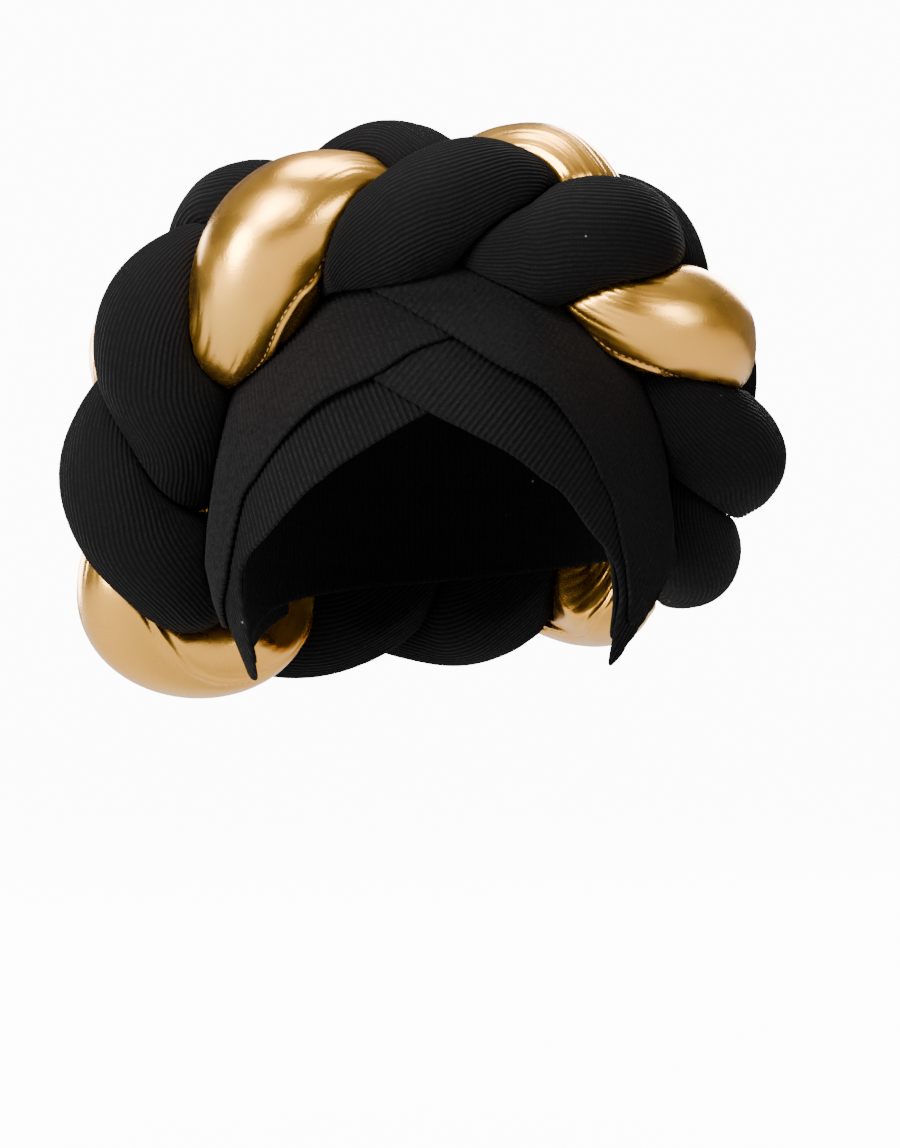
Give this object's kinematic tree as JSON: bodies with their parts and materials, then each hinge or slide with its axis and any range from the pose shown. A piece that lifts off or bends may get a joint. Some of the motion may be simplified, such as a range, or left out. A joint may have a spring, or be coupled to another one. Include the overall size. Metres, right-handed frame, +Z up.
{
  "type": "tied gele head tie",
  "caption": "Ribbed black turban with crossed forehead pleats and a thick stuffed braid of black and gold cloth tied around it as a tilted ring.",
  "frame": {"origin": "inside of the crown, where the cap rests on the head", "axes": "+Z up, -Y towards the wearer's front, +X to the right as seen from the front"},
  "size_m": [0.2766, 0.2445, 0.2185],
  "materials": {
    "black_knit": "matte ribbed knit",
    "gold_cloth": "metallic foil"
  },
  "bodies": {
    "root": {"cap_shell": "black_knit", "band_left_lower": "black_knit", "band_right_lower": "black_knit", "band_left_upper": "black_knit", "band_right_upper": "black_knit", "strand_gold": "gold_cloth", "strand_black_a": "black_knit", "strand_black_b": "black_knit"}
  },
  "joints": []
}
